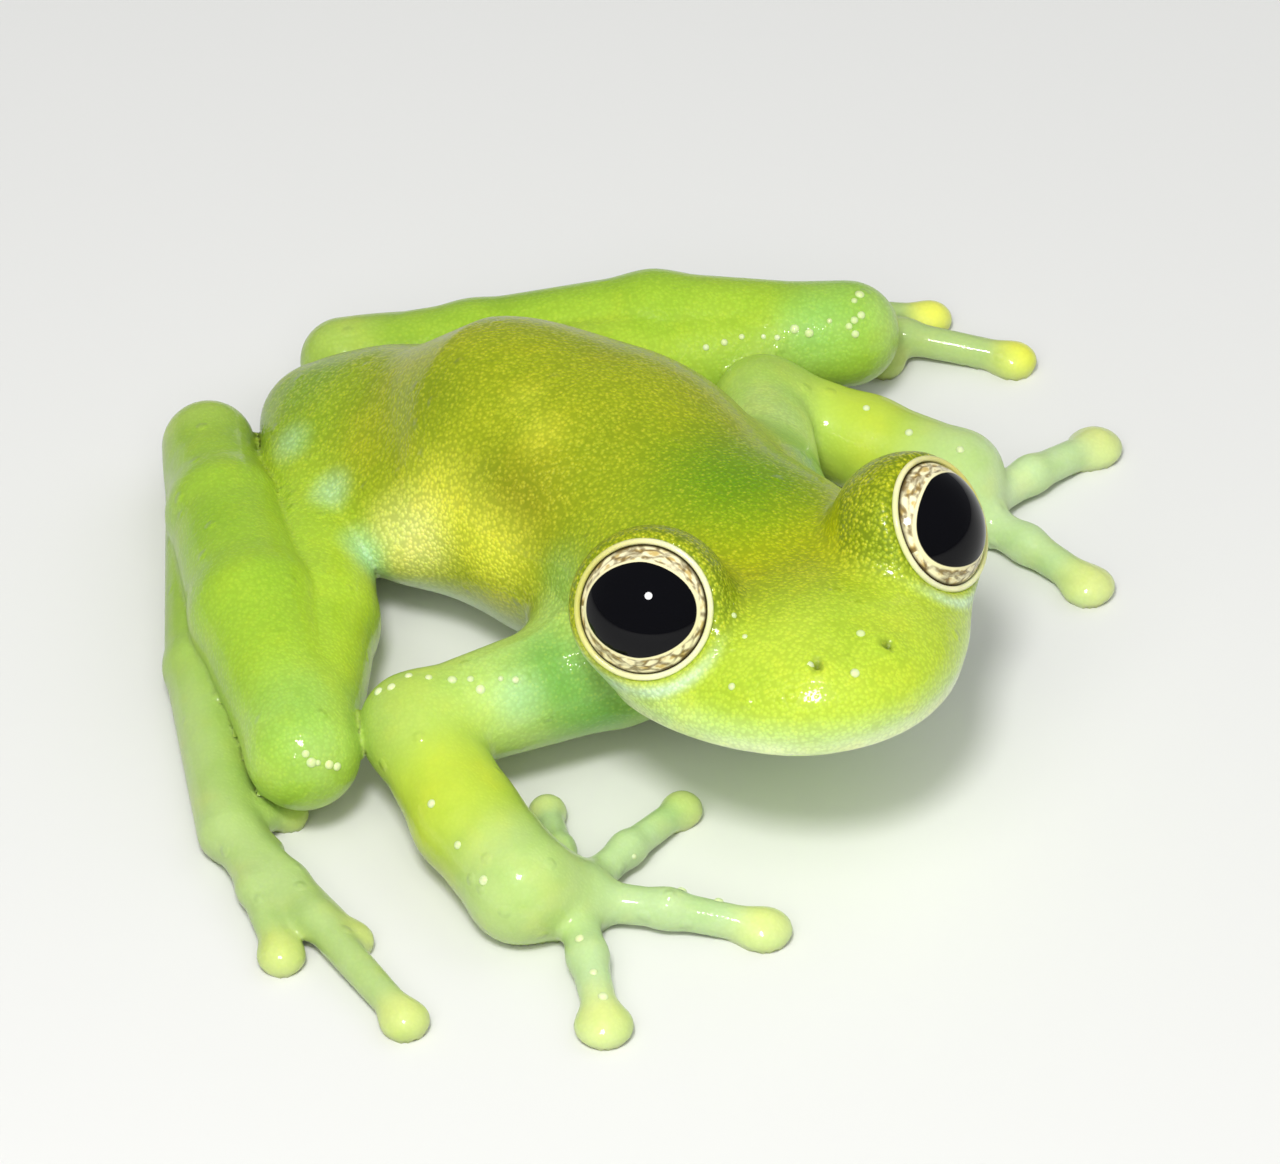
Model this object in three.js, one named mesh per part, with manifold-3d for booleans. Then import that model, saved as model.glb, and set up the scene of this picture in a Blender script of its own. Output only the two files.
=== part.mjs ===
// A glass frog at life size, crouched with its head turned to its right.
// Millimetres, +Z up, -Y towards the snout, +X towards the frog's left, floor at z = 0.
// Each body part is a distance field of tapered limbs and ellipsoids. Neighbours run into each
// other near their joint, one surface is drawn round the whole frog, and it is parted at the joints.
import * as THREE from "three";
import Module from "manifold-3d";

const wasm = await Module();
wasm.setup();

// Driving dimensions
const BODY_LENGTH = 22.5; // snout to vent
const HEAD_TURN = 27; // degrees to the frog's right
const HEAD_PITCH = 8; // degrees, snout up
const EYE_RADIUS = 1.68;
const EYE_SPREAD = 3.17; // from the head's middle to an eye's centre
const EYE_YAW = 36; // degrees the eye looks outwards from straight ahead
const EYE_RISE = 30; // degrees the eye looks up
const LID_RADIUS = 1.42; // opening between the lids
const MOUND_RADIUS = 2.0; // from an eye's centre to the outside of its mound
const LIP_HEIGHT = -2.36; // of the mouth's line below the eyes
const PART_GAP = 0.3; // between neighbouring parts
const FLOOR_SNAP = 0.07; // anything lower than this lies flat on the floor
const LEFT = 1;
const RIGHT = -1;

const scale = BODY_LENGTH / 22.5;
const LID_OPENING = Math.sqrt(EYE_RADIUS ** 2 - LID_RADIUS ** 2) * scale; // from an eye's centre
const place = (side, ahead, up) => new THREE.Vector3(side, -ahead, up).multiplyScalar(scale);
const degrees = THREE.MathUtils.degToRad;

// Distance to an ellipsoid with half sizes along its own axes
function ellipsoid(centre, half, turn = new THREE.Quaternion()) {
  const back = turn.clone().invert();
  const q = new THREE.Vector3();
  const smallest = Math.min(half.x, half.y, half.z);
  return (p) => {
    q.copy(p).sub(centre).applyQuaternion(back);
    const near = Math.hypot(q.x / half.x, q.y / half.y, q.z / half.z);
    const slope = Math.hypot(q.x / half.x ** 2, q.y / half.y ** 2, q.z / half.z ** 2);
    return slope < 1e-6 ? -smallest : (near * (near - 1)) / slope;
  };
}

// Distance to a round limb from one station to the next, a station being { at, r }
function limb(from, to) {
  const along = to.at.clone().sub(from.at);
  const length2 = along.lengthSq();
  const q = new THREE.Vector3();
  return (p) => {
    q.copy(p).sub(from.at);
    const t = THREE.MathUtils.clamp(q.dot(along) / length2, 0, 1);
    q.addScaledVector(along, -t);
    return q.length() - THREE.MathUtils.lerp(from.r, to.r, t);
  };
}

// The smaller of two distances, rounded where they are within reach of each other
function blend(a, b, reach) {
  const h = Math.max(reach - Math.abs(a - b), 0);
  return reach > 0 ? Math.min(a, b) - (h * h) / (4 * reach) : Math.min(a, b);
}

function join(fields, reach) {
  return (p) => fields.reduce((d, field) => blend(d, field(p), reach), Infinity);
}

// A limb through several stations
function chain(stations, reach = 0.3) {
  return join(stations.slice(1).map((to, i) => limb(stations[i], to)), reach);
}

const station = (side, ahead, up, r) => ({ at: place(side, ahead, up), r: r * scale });

// Trunk: narrow rump, round belly on the floor, shoulders
function trunk() {
  const rump = chain([
    station(-0.7, 2.2, 1.65, 1.15),
    station(-0.5, 4.7, 2.35, 1.9),
    station(-0.3, 7.4, 3.5, 2.75),
  ]);
  const belly = ellipsoid(place(-0.3, 10.4, 3.25), place(3.85, -4.7, 3.3));
  const pelvis = ellipsoid(place(-0.8, 4.8, 2.15), place(3.3, -3.1, 1.6));
  const flanks = ellipsoid(place(-0.5, 7.0, 2.4), place(3.95, -2.6, 1.7));
  const shoulders = ellipsoid(place(-1.2, 13.9, 3.4), place(3.4, -3.4, 2.6));
  return join([rump, belly, pelvis, flanks, shoulders], 1.2);
}

// Head frame: +X to the frog's left, -Y ahead of the snout, +Z up, origin between the eyes
const headTurn = new THREE.Quaternion()
  .setFromAxisAngle(new THREE.Vector3(0, 0, 1), degrees(-HEAD_TURN))
  .multiply(new THREE.Quaternion().setFromAxisAngle(new THREE.Vector3(1, 0, 0), degrees(-HEAD_PITCH)));
const headOrigin = place(-2.62, 17.5, 6.1);

function onHead(side, ahead, up) {
  return place(side, ahead, up).applyQuaternion(headTurn).add(headOrigin);
}

function eyeAxis(side) {
  const level = Math.cos(degrees(EYE_RISE));
  return new THREE.Vector3(
    side * level * Math.sin(degrees(EYE_YAW)),
    -level * Math.cos(degrees(EYE_YAW)),
    Math.sin(degrees(EYE_RISE)),
  ).applyQuaternion(headTurn);
}

const eyeCentre = (side) => onHead(side * EYE_SPREAD, 0, 0);

// Mound of flesh round an eye, flat where the lids open
function eyeMound(side) {
  const centre = eyeCentre(side);
  const axis = eyeAxis(side);
  const q = new THREE.Vector3();
  return (p) => {
    q.copy(p).sub(centre);
    return -blend(-(q.length() - MOUND_RADIUS * scale), -(q.dot(axis) - LID_OPENING), 0.3);
  };
}

function head() {
  const skull = ellipsoid(onHead(0, 0, -1.55), place(4.12, -4.15, 1.6), headTurn);
  const snout = ellipsoid(onHead(0, 2.0, -1.25), place(2.6, -2.6, 1.25), headTurn);
  const nape = ellipsoid(onHead(0, -2.4, -1.9), place(3.6, -2.6, 2.1), headTurn);
  const flesh = join([skull, snout, nape], 1.0);
  const mounds = [RIGHT, LEFT].map(eyeMound);
  return (p) => mounds.reduce((d, mound) => blend(d, mound(p), 0.7), flesh(p));
}

// Stations of the joints, the right side as in the photo, the left as far as it can be seen
const joints = {
  right: {
    hip: station(-2.8, 4.2, 1.85, 1.15),
    thigh: station(-6.4, 7.0, 1.65, 1.45),
    knee: station(-10.35, 10.0, 2.0, 1.2),
    calf: station(-7.6, 6.3, 2.3, 1.5),
    shin: station(-4.95, 3.05, 1.95, 1.3),
    heel: station(-2.9, 0.8, 1.6, 1.0),
    ankle: station(-8.6, 5.4, 0.95, 0.8),
    toes: station(-12.2, 9.4, 0.6, 0.75),
    shoulder: station(-4.3, 13.7, 2.45, 1.4),
    elbow: station(-8.3, 11.6, 2.2, 1.15),
    forearm: station(-9.45, 14.0, 1.55, 1.2),
    wrist: station(-10.1, 16.1, 1.15, 1.25),
  },
  left: {
    hip: station(1.7, 4.2, 1.85, 1.15),
    thigh: station(5.8, 6.7, 1.6, 1.35),
    knee: station(9.5, 10.1, 1.95, 1.15),
    calf: station(6.75, 6.45, 1.95, 1.4),
    shin: station(4.0, 3.2, 1.5, 1.15),
    heel: station(1.9, 0.9, 1.3, 0.95),
    ankle: station(7.4, 4.5, 0.95, 0.8),
    toes: station(10.5, 7.8, 0.6, 0.75),
    shoulder: station(2.6, 13.2, 2.7, 1.25),
    elbow: station(6.3, 10.1, 1.75, 1.05),
    forearm: station(7.15, 12.5, 1.25, 1.1),
    wrist: station(7.6, 14.8, 1.1, 1.1),
  },
};

// Tips of the digits on the floor, the innermost first
const fingerTips = {
  right: [[-6.9, 14.2], [-4.9, 16.6], [-7.0, 20.7], [-11.9, 19.9]],
  left: [[4.4, 13.3], [3.6, 16.6], [7.1, 19.2], [11.6, 16.1]],
};
const toeTips = {
  right: [[-10.4, 8.9], [-10.5, 9.8], [-13.1, 13.8], [-14.4, 16.4], [-14.5, 12.9]],
  left: [[9.3, 8.6], [9.9, 9.4], [11.0, 10.3], [13.0, 12.7], [13.1, 10.1]],
};

// Radii of the digits and of the discs at their tips
const FINGER_THICKNESS = [0.32, 0.36, 0.42, 0.42];
const FINGER_DISCS = [0.42, 0.46, 0.64, 0.66];
const TOE_THICKNESS = [0.32, 0.34, 0.36, 0.4, 0.38];
const TOE_DISCS = [0.4, 0.44, 0.5, 0.56, 0.54];

// A station part way between two others, pushed aside and with its own radius
function between(from, to, share, r, [side, ahead, up] = [0, 0, 0]) {
  return { at: from.at.clone().lerp(to.at, share).add(place(side, ahead, up)), r: r * scale };
}

const thighForm = ({ hip, thigh, knee }) => chain([hip, thigh, knee]);
const shankForm = ({ knee, calf, shin, heel }) => chain([knee, calf, shin, heel]);
const tarsusForm = ({ heel, ankle }) => chain([heel, ankle]);
const upperArmForm = ({ shoulder, elbow }) => chain([shoulder, elbow]);
const forearmForm = ({ elbow, forearm, wrist }) => chain([elbow, forearm, wrist]);

// A digit lying on the floor from its root to a round flat disc at its tip
function digit(root, [side, ahead], thick, disc) {
  const end = place(side, ahead, 0);
  const back = root.at.clone().sub(end).setZ(0).setLength(disc * 0.3 * scale);
  const centre = end.add(back);
  const tip = { at: centre.clone().setZ(0.3 * scale), r: thick * 0.9 * scale };
  const knuckle = between(root, tip, 0.5, thick, [0, 0, 0.12]);
  const start = { at: root.at, r: thick * 1.15 * scale };
  const discHalf = new THREE.Vector3(disc, disc, 0.36).multiplyScalar(scale);
  const pad = ellipsoid(centre.setZ(0.26 * scale), discHalf);
  return join([chain([start, knuckle, tip]), pad], 0.25);
}

// Thin skin between two digits, out to a share of their length
function web(root, tipA, tipB, share) {
  const along = (tip) => root.at.clone().lerp(place(tip[0], tip[1], 0.3), share);
  const middle = along(tipA).add(along(tipB)).multiplyScalar(0.5).lerp(root.at, 0.12);
  return limb({ at: root.at, r: 0.45 * scale }, { at: middle, r: 0.28 * scale });
}

function hand({ wrist }, tips) {
  const centre = new THREE.Vector3();
  for (const [side, ahead] of tips) centre.add(place(side, ahead, 0));
  centre.divideScalar(tips.length);
  const palm = { at: wrist.at.clone().lerp(centre, 0.38).setZ(0.55 * scale), r: 0.95 * scale };
  const digits = tips.map((tip, i) => digit(palm, tip, FINGER_THICKNESS[i], FINGER_DISCS[i]));
  return join([limb(wrist, palm), ...digits], 0.35);
}

function foot({ ankle, toes }, tips) {
  const digits = tips.map((tip, i) => digit(toes, tip, TOE_THICKNESS[i], TOE_DISCS[i]));
  const webs = tips.slice(1).map((tip, i) => web(toes, tips[i], tip, [0.4, 0.5, 0.6, 0.65][i]));
  return join([limb(ankle, toes), ...digits, ...webs], 0.3);
}

// Parts of the frog, each with the size of its surface's cells
const fields = [
  { name: "torso", field: trunk(), cell: 0.9 },
  { name: "head", field: head(), cell: 0.64 },
];
for (const side of ["left", "right"]) {
  const j = joints[side];
  fields.push(
    { name: `thigh_${side}`, field: thighForm(j), cell: 0.7 },
    { name: `shank_${side}`, field: shankForm(j), cell: 0.66 },
    { name: `tarsus_${side}`, field: tarsusForm(j), cell: 0.55 },
    { name: `foot_${side}`, field: foot(j, toeTips[side]), cell: 0.39 },
    { name: `upper_arm_${side}`, field: upperArmForm(j), cell: 0.6 },
    { name: `forearm_${side}`, field: forearmForm(j), cell: 0.6 },
    { name: `hand_${side}`, field: hand(j, fingerTips[side]), cell: 0.39 },
  );
}
const byName = Object.fromEntries(fields.map((part) => [part.name, part]));

// Where two parts run into each other: the point, how far the flesh rounds over, and the way
// from the first part to the second
function meet(first, second, point, reach, spread, way) {
  return { first: byName[first], second: byName[second], point, reach, spread, way };
}

const bend = (a, b, c) => {
  const u = c.clone().sub(b).normalize();
  const v = a.clone().sub(b).normalize();
  return u.sub(v).normalize();
};

const headAhead = new THREE.Vector3(0, -1, 0).applyQuaternion(headTurn);
const meetings = [meet("torso", "head", onHead(0, -3.4, -2.4), 2.2, 7, headAhead)];
for (const side of ["left", "right"]) {
  const { hip, knee, heel, ankle, toes, shoulder, elbow, wrist } = joints[side];
  meetings.push(
    meet("torso", `thigh_${side}`, hip.at, 0.4, 3.4, null),
    meet(`thigh_${side}`, `shank_${side}`, knee.at, 0.6, 2.6, bend(hip.at, knee.at, heel.at)),
    meet(`shank_${side}`, `tarsus_${side}`, heel.at, 0.5, 2.2, bend(knee.at, heel.at, ankle.at)),
    meet(`tarsus_${side}`, `foot_${side}`, ankle.at, 0.25, 2.2, bend(heel.at, ankle.at, toes.at)),
    meet("torso", `upper_arm_${side}`, shoulder.at, 1.8, 3.6, null),
    meet(`upper_arm_${side}`, `forearm_${side}`, elbow.at, 0.8, 2.4, bend(shoulder.at, elbow.at, wrist.at)),
    meet(`forearm_${side}`, `hand_${side}`, wrist.at, 0.3, 2.2, wrist.at.clone().sub(elbow.at).normalize()),
  );
}

// Distance to the whole frog, flesh rounded over at every meeting
function flesh(p) {
  for (const part of fields) part.d = part.field(p);
  let d = Math.min(...fields.map((part) => part.d));
  for (const { first, second, point, reach, spread } of meetings) {
    const fade = 1 - Math.min(p.distanceTo(point) / (spread * scale), 1) ** 2;
    d = Math.min(d, blend(first.d, second.d, reach * scale * fade));
  }
  return d;
}

// How far a point lies beyond the faces that part it from its neighbours
function beyond(part, p) {
  let most = -Infinity;
  for (const other of fields) {
    if (other === part) continue;
    let share = (part.d - other.d) / 2;
    const meeting = meetings.find(
      ({ first, second, way }) => way && [first, second].includes(part) && [first, second].includes(other),
    );
    if (meeting) {
      const past = p.clone().sub(meeting.point).dot(meeting.way);
      const mine = meeting.second === part ? past : -past;
      share -= THREE.MathUtils.clamp(mine, -0.4, 0.4);
    }
    most = Math.max(most, share);
  }
  return most;
}

// Field of one part: the flesh less what belongs to the neighbours and half a gap
function partField(part) {
  const step = 0.02;
  const q = new THREE.Vector3();
  const value = (x, y, z) => {
    q.set(x, y, z);
    const skin = flesh(q);
    return [skin, beyond(part, q)];
  };
  return (x, y, z) => {
    const [skin, cut] = value(x, y, z);
    if (skin > 1 || Math.abs(cut) > 1) return Math.max(skin, cut + PART_GAP / 2);
    const slopes = [value(x + step, y, z)[1], value(x, y + step, z)[1], value(x, y, z + step)[1]];
    const slope = Math.max(Math.hypot(...slopes.map((s) => s - cut)) / step, 0.35);
    return Math.max(skin, cut / slope + PART_GAP / 2);
  };
}

// Corners, edges and faces of a cell
const CORNERS = [0, 1, 2, 3, 4, 5, 6, 7].map((c) => [c & 1, (c >> 1) & 1, c >> 2]);
const EDGES = [];
for (const bit of [1, 2, 4]) {
  for (let c = 0; c < 8; c++) {
    if (!(c & bit)) EDGES.push([c, c | bit]);
  }
}
const FACES = [];
for (const bit of [1, 2, 4]) {
  for (const level of [0, bit]) {
    FACES.push(EDGES.map((_, e) => e).filter((e) => EDGES[e].every((c) => (c & bit) === level)));
  }
}

// The closed loops of crossed edges round a cell, inside corners kept apart on a doubtful face
function loopsOf(at8) {
  const crossed = EDGES.map(([a, b]) => at8[a] < 0 !== at8[b] < 0);
  if (!crossed.includes(true)) return [];
  const group = EDGES.map((_, e) => e);
  const find = (e) => (group[e] === e ? e : find(group[e]));
  const innerCorner = (e) => EDGES[e].find((c) => at8[c] < 0);
  for (const face of FACES) {
    const cuts = face.filter((e) => crossed[e]);
    for (const a of cuts) {
      for (const b of cuts) {
        if (cuts.length === 2 || innerCorner(a) === innerCorner(b)) group[find(a)] = find(b);
      }
    }
  }
  const loops = new Map();
  crossed.forEach((is, e) => is && loops.set(find(e), [...(loops.get(find(e)) ?? []), e]));
  return [...loops.values()];
}

// Surface of a field: one vertex for each loop, one square at each grid edge that is crossed
function surface(field, box, cell) {
  const size = box.getSize(new THREE.Vector3());
  const [nx, ny, nz] = [size.x, size.y, size.z].map((s) => Math.ceil(s / cell) + 2);
  const start = box.min.clone().subScalar(cell);
  const index = (i, j, k) => (k * ny + j) * nx + i;
  const values = new Float64Array(nx * ny * nz);
  for (let k = 0; k < nz; k++) {
    for (let j = 0; j < ny; j++) {
      for (let i = 0; i < nx; i++) {
        values[index(i, j, k)] = field(start.x + i * cell, start.y + j * cell, start.z + k * cell);
      }
    }
  }
  const vertices = [];
  const vertexOf = new Map();
  for (let k = 0; k < nz - 1; k++) {
    for (let j = 0; j < ny - 1; j++) {
      for (let i = 0; i < nx - 1; i++) {
        const at8 = CORNERS.map(([x, y, z]) => values[index(i + x, j + y, k + z)]);
        for (const loop of loopsOf(at8)) {
          const v = new THREE.Vector3();
          for (const edge of loop) {
            const [from, to] = EDGES[edge];
            const t = at8[from] / (at8[from] - at8[to]);
            v.add(new THREE.Vector3(...CORNERS[from]).lerp(new THREE.Vector3(...CORNERS[to]), t));
            vertexOf.set(index(i, j, k) * 12 + edge, vertices.length);
          }
          v.divideScalar(loop.length).add(new THREE.Vector3(i, j, k)).multiplyScalar(cell).add(start);
          if (v.z < FLOOR_SNAP) v.z = 0;
          vertices.push(v);
        }
      }
    }
  }
  const triangles = [];
  for (let k = 1; k < nz - 1; k++) {
    for (let j = 1; j < ny - 1; j++) {
      for (let i = 1; i < nx - 1; i++) {
        for (let axis = 0; axis < 3; axis++) {
          const [a, b, c] = [axis, (axis + 1) % 3, (axis + 2) % 3].map((n) => CORNERS[1 << n]);
          const inside = values[index(i, j, k)] < 0;
          if (inside === values[index(i + a[0], j + a[1], k + a[2])] < 0) continue;
          const around = [[0, 0], [1, 0], [1, 1], [0, 1]].map(([m, n]) => {
            const from = (m << (axis + 1) % 3) | (n << (axis + 2) % 3);
            const edge = EDGES.findIndex(([p, q]) => p === from && q === (from | (1 << axis)));
            const cellAt = index(i - m * b[0] - n * c[0], j - m * b[1] - n * c[1], k - m * b[2] - n * c[2]);
            return vertexOf.get(cellAt * 12 + edge);
          });
          if (!inside) around.reverse();
          const [p, q, r, s] = around;
          const short = vertices[p].distanceTo(vertices[r]) < vertices[q].distanceTo(vertices[s]);
          triangles.push(...(short ? [p, q, r, p, r, s] : [q, r, s, q, s, p]));
        }
      }
    }
  }
  return { vertices, triangles };
}

// The box round a part, found from a coarse look at its field
function roughBox(field) {
  const box = new THREE.Box3();
  const p = new THREE.Vector3();
  const step = 0.5;
  for (p.x = -17; p.x < 17; p.x += step) {
    for (p.y = -25; p.y < 3; p.y += step) {
      for (p.z = -1; p.z < 10; p.z += step) {
        if (field(p) < 0.6) box.expandByPoint(p);
      }
    }
  }
  return box.expandByScalar(0.8);
}

function toSolid(vertices, triangles) {
  const mesh = new wasm.Mesh({
    numProp: 3,
    vertProperties: new Float32Array(vertices.flatMap((v) => [v.x, v.y, v.z])),
    triVerts: new Uint32Array(triangles),
  });
  mesh.merge();
  return new wasm.Manifold(mesh);
}

// The largest piece of a solid
function largest(solid) {
  const pieces = solid.decompose();
  return pieces.sort((a, b) => b.volume() - a.volume())[0];
}

function fromGeometry(geometry) {
  const position = geometry.getAttribute("position");
  const vertices = [];
  for (let i = 0; i < position.count; i++) {
    vertices.push(new THREE.Vector3().fromBufferAttribute(position, i));
  }
  return toSolid(vertices, [...geometry.index.array]);
}

function ball(centre, radius, around = 20) {
  const sphere = new THREE.SphereGeometry(radius, around, Math.round(around / 2));
  return fromGeometry(sphere.translate(...centre));
}

// A closed rope of flesh along a row of points, with flat ends
function rope(points, radius, around = 8) {
  const vertices = [];
  const triangles = [];
  points.forEach((point, i) => {
    const next = points[Math.min(i + 1, points.length - 1)];
    const ahead = next.clone().sub(points[Math.max(i - 1, 0)]).normalize();
    const across = new THREE.Vector3(0, 0, 1).cross(ahead).normalize();
    const up = ahead.clone().cross(across);
    for (let k = 0; k < around; k++) {
      const angle = (k / around) * 2 * Math.PI;
      const corner = point.clone().addScaledVector(across, radius * Math.cos(angle));
      vertices.push(corner.addScaledVector(up, radius * Math.sin(angle)));
    }
  });
  for (let i = 0; i < points.length - 1; i++) {
    for (let k = 0; k < around; k++) {
      const [a, b] = [i * around + k, i * around + ((k + 1) % around)];
      triangles.push(a, b, b + around, a, b + around, a + around);
    }
  }
  const last = (points.length - 1) * around;
  for (let k = 1; k < around - 1; k++) triangles.push(0, k + 1, k, last, last + k, last + k + 1);
  return toSolid(vertices, triangles);
}

// The point where a ray from inside a field leaves it
function exit(field, from, way) {
  let [near, far] = [0, 9];
  for (let i = 0; i < 30; i++) {
    const middle = (near + far) / 2;
    if (field(from.clone().addScaledVector(way, middle)) < 0) near = middle;
    else far = middle;
  }
  return from.clone().addScaledVector(way, near);
}

// Points along the edge of the jaw at a height below the eyes, from one corner of the mouth
// round the snout to the other
function jawLine(field, up, widest = 112) {
  const points = [];
  const from = onHead(0, 0.3, up);
  for (let angle = -widest; angle <= widest; angle += 14) {
    const way = new THREE.Vector3(Math.sin(degrees(angle)), -Math.cos(degrees(angle)), 0);
    points.push(exit(field, from, way.applyQuaternion(headTurn)));
  }
  return points;
}

// Raised lid round an eye
function lid(side) {
  const ring = new THREE.TorusGeometry((LID_RADIUS + 0.22) * scale, 0.2 * scale, 6, 20);
  const turn = new THREE.Quaternion().setFromUnitVectors(new THREE.Vector3(0, 0, 1), eyeAxis(side));
  const centre = eyeCentre(side).addScaledVector(eyeAxis(side), LID_OPENING);
  return fromGeometry(ring.applyQuaternion(turn).translate(...centre));
}

// Lids, lips and mouth, nostrils, eardrums and open eye sockets
function detailHead(solid, field) {
  const upperLip = rope(jawLine(field, LIP_HEIGHT + 0.32), 0.2 * scale, 6);
  const lowerLip = rope(jawLine(field, LIP_HEIGHT - 0.33), 0.18 * scale, 6);
  const mouth = rope(jawLine(field, LIP_HEIGHT, 110), 0.16 * scale, 6);
  let done = [upperLip, lowerLip, lid(LEFT), lid(RIGHT)].reduce((all, piece) => all.add(piece), solid);
  done = done.subtract(mouth);
  for (const side of [RIGHT, LEFT]) {
    const nostril = exit(field, onHead(side * 0.84, 3.6, -1.5), new THREE.Vector3(0, 0, 1));
    const outwards = new THREE.Vector3(side, 0, 0).applyQuaternion(headTurn);
    const eardrum = exit(field, onHead(side * 2.5, -2.6, -1.9), outwards);
    done = done.subtract(ball(nostril, 0.17 * scale, 8));
    done = done.subtract(ball(eardrum, 0.42 * scale, 12));
    done = done.subtract(ball(eyeCentre(side), (EYE_RADIUS + 0.15) * scale));
  }
  return largest(done);
}

const material = (name, color, roughness) =>
  new THREE.MeshStandardMaterial({ name, color, roughness, metalness: 0 });
const materials = {
  skin: material("skin", 0x9cc232, 0.4),
  pale_skin: material("pale_skin", 0xb9d98f, 0.35),
  eye: material("eye", 0x16120c, 0.05),
};

function toMesh(name, solid, material) {
  const { vertProperties, triVerts } = solid.getMesh();
  const geometry = new THREE.BufferGeometry();
  geometry.setAttribute("position", new THREE.BufferAttribute(new Float32Array(vertProperties), 3));
  geometry.setIndex([...triVerts]);
  const mesh = new THREE.Mesh(geometry, material);
  mesh.name = name;
  return mesh;
}

function bodyPart(part) {
  const { vertices, triangles } = surface(partField(part), roughBox(part.field), part.cell * scale);
  return largest(toSolid(vertices, triangles));
}

const frog = new THREE.Group();
frog.name = "glass_frog";
for (const part of fields) {
  const solid = bodyPart(part);
  const pale = part.name.startsWith("hand") || part.name.startsWith("foot");
  const shaped = part.name === "head" ? detailHead(solid, flesh) : solid;
  frog.add(toMesh(part.name, shaped, pale ? materials.pale_skin : materials.skin));
}
frog.add(toMesh("eye_left", ball(eyeCentre(LEFT), EYE_RADIUS * scale), materials.eye));
frog.add(toMesh("eye_right", ball(eyeCentre(RIGHT), EYE_RADIUS * scale), materials.eye));

// The origin lies on the floor under the middle of the frog's box
const middle = new THREE.Box3().setFromObject(frog).getCenter(new THREE.Vector3());
frog.position.set(-middle.x, -middle.y, 0);

export default frog;
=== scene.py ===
"""A glass frog at life size, crouched with its head turned to its right.

One skin is drawn round a distance field of the whole frog and coloured point by point. The
eyeballs, the rims of the lids and the warts are pieces of their own.
"""
import math

import bpy
import numpy as np
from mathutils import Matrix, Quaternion, Vector


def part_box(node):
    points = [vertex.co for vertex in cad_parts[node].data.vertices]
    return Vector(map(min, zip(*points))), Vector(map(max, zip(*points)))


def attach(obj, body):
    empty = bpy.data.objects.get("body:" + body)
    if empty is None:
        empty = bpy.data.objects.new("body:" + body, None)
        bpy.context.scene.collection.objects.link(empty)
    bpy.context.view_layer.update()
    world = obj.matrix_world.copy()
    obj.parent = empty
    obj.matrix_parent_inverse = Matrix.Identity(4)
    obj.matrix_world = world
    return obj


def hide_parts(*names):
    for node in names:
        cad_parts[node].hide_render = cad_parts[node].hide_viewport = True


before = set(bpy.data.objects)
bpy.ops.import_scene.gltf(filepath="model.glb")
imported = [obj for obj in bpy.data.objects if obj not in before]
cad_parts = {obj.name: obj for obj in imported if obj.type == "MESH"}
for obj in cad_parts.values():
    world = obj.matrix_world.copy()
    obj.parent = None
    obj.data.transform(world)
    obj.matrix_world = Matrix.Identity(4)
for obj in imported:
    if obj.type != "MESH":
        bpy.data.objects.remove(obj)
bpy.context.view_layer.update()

MM = 0.001
LEFT, RIGHT = 1, -1

# Driving sizes in millimetres, the same as the solids'
HEAD_TURN = 27.0
HEAD_PITCH = 8.0
EYE_RADIUS = 1.68
EYE_SPREAD = 3.17
EYE_YAW = 36.0
EYE_RISE = 30.0
LID_RADIUS = 1.42
MOUND_RADIUS = 1.84
LID_OPENING = math.sqrt(EYE_RADIUS**2 - LID_RADIUS**2)
LID_THICKNESS = 0.07
PUPIL_HALF_WIDTH = 1.23
PUPIL_HALF_HEIGHT = 1.05
LIP_HEIGHT = -2.36  # of the mouth's line below the eyes
NOSTRIL_SIDE = 0.84
NOSTRIL_AHEAD = 3.6
DRUM_BEHIND = 2.7
DRUM_DROP = 1.75
DRUM_RADIUS = 0.55
FLOOR_SNAP = 0.07  # anything lower than this lies flat on the floor

# Sizes of the skin's grid in millimetres, and its blocks in cells
CELL = 0.115
BLOCK = 8
BLOCKS_AT_ONCE = 400
FAR = 9.0  # stands for any distance too large to matter
NEARBY = 1.8  # a form is worked out this far round its box


def place(side, ahead, up):
    """A point by how far it lies to the frog's left, ahead of the heels and above the floor."""
    return np.array([side, -ahead, up], float)


HEAD_ORIGIN = place(-2.62, 17.5, 6.1)
HEAD_TURNING = np.array(
    Quaternion((0, 0, 1), math.radians(-HEAD_TURN)).to_matrix()
    @ Quaternion((1, 0, 0), math.radians(-HEAD_PITCH)).to_matrix()
)


def on_head(side, ahead, up):
    return HEAD_ORIGIN + HEAD_TURNING @ place(side, ahead, up)


def eye_centre(side):
    return on_head(side * EYE_SPREAD, 0, 0)


def eye_axis(side):
    level = math.cos(math.radians(EYE_RISE))
    yaw = math.radians(EYE_YAW)
    return HEAD_TURNING @ np.array(
        [side * level * math.sin(yaw), -level * math.cos(yaw), math.sin(math.radians(EYE_RISE))]
    )


# From the sizes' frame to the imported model's
lowest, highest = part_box("eye_right")
OFFSET = np.array((lowest + highest) / 2) / MM - eye_centre(RIGHT)
OFFSET[2] = 0.0


def to_world(points):
    return (np.asarray(points, float) + OFFSET) * MM


# Distances to simple forms, negative inside

def smooth(low, high, value):
    t = np.clip((value - low) / (high - low), 0, 1)
    return t * t * (3 - 2 * t)


def blend(a, b, reach):
    """The smaller of two distances, rounded where they are within reach of each other."""
    h = np.maximum(reach - np.abs(a - b), 0)
    return np.minimum(a, b) - h * h / (4 * np.maximum(reach, 1e-6))


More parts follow.
